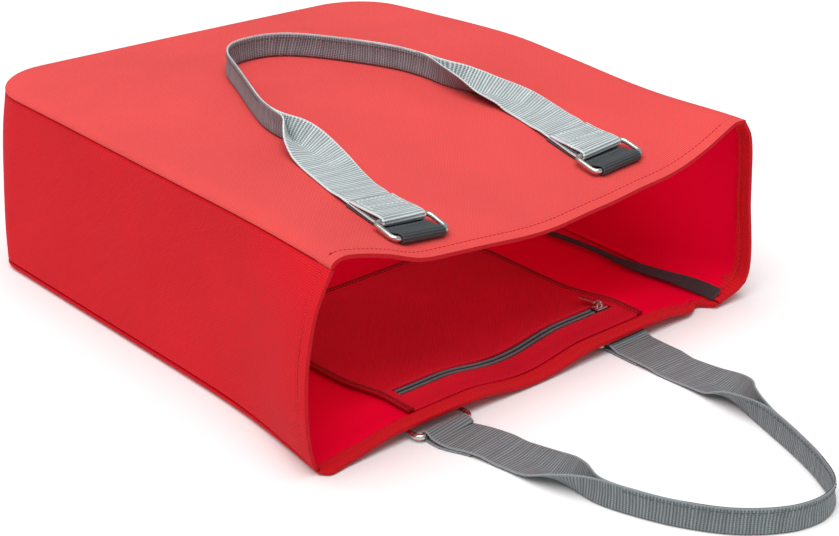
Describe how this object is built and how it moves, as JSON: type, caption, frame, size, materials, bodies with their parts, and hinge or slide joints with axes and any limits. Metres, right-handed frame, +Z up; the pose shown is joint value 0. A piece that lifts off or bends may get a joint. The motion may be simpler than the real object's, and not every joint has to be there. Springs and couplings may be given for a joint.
{
  "type": "shopper bag",
  "caption": "Open fabric shopper lying on its back panel, with hemmed mouth, wrap-round gusset, zipped inside pocket and webbing handles on wire rings.",
  "frame": {"origin": "on the resting face under the middle of the back panel", "axes": "+Z up, -Y out of the mouth, +Y toward the base, +X to the right across the mouth seen from outside it"},
  "size_m": [0.4334, 0.69, 0.1814],
  "materials": {
    "canvas_front": "coral red woven polyester",
    "canvas_gusset": "red woven polyester",
    "canvas_back": "red woven polyester",
    "seam_binding": "black woven tape",
    "pocket_cloth": "crimson woven polyester",
    "zip_tape": "grey woven tape",
    "zip_coil": "black nylon",
    "slider_metal": "nickel plated",
    "pull_metal": "nickel plated",
    "tab_webbing": "slate grey ribbed webbing",
    "ring_metal": "nickel plated",
    "handle_webbing": "blue-grey ribbed webbing"
  },
  "bodies": {
    "bag": {"front_panel": "canvas_front", "back_panel": "canvas_back", "gusset": "canvas_gusset", "binding_back": "seam_binding", "binding_front": "seam_binding", "pocket_panel": "pocket_cloth", "zip_tape": "zip_tape", "zip_coil": "zip_coil", "zip_slider": "slider_metal", "tab_front_left": "tab_webbing", "tab_front_right": "tab_webbing", "tab_back_left": "tab_webbing", "tab_back_right": "tab_webbing", "ring_front_left": "ring_metal", "ring_front_right": "ring_metal", "ring_back_left": "ring_metal", "ring_back_right": "ring_metal", "handle_front": "handle_webbing", "handle_back": "handle_webbing"},
    "pull": {"zip_pull": "pull_metal"}
  },
  "joints": [
    {"name": "pull_swing", "type": "hinge", "parent": "bag", "child": "pull", "pos_m": [0.0955, -0.1775, 0.01716], "axis": [1, 0, 0], "range_deg": [0, 150]}
  ]
}
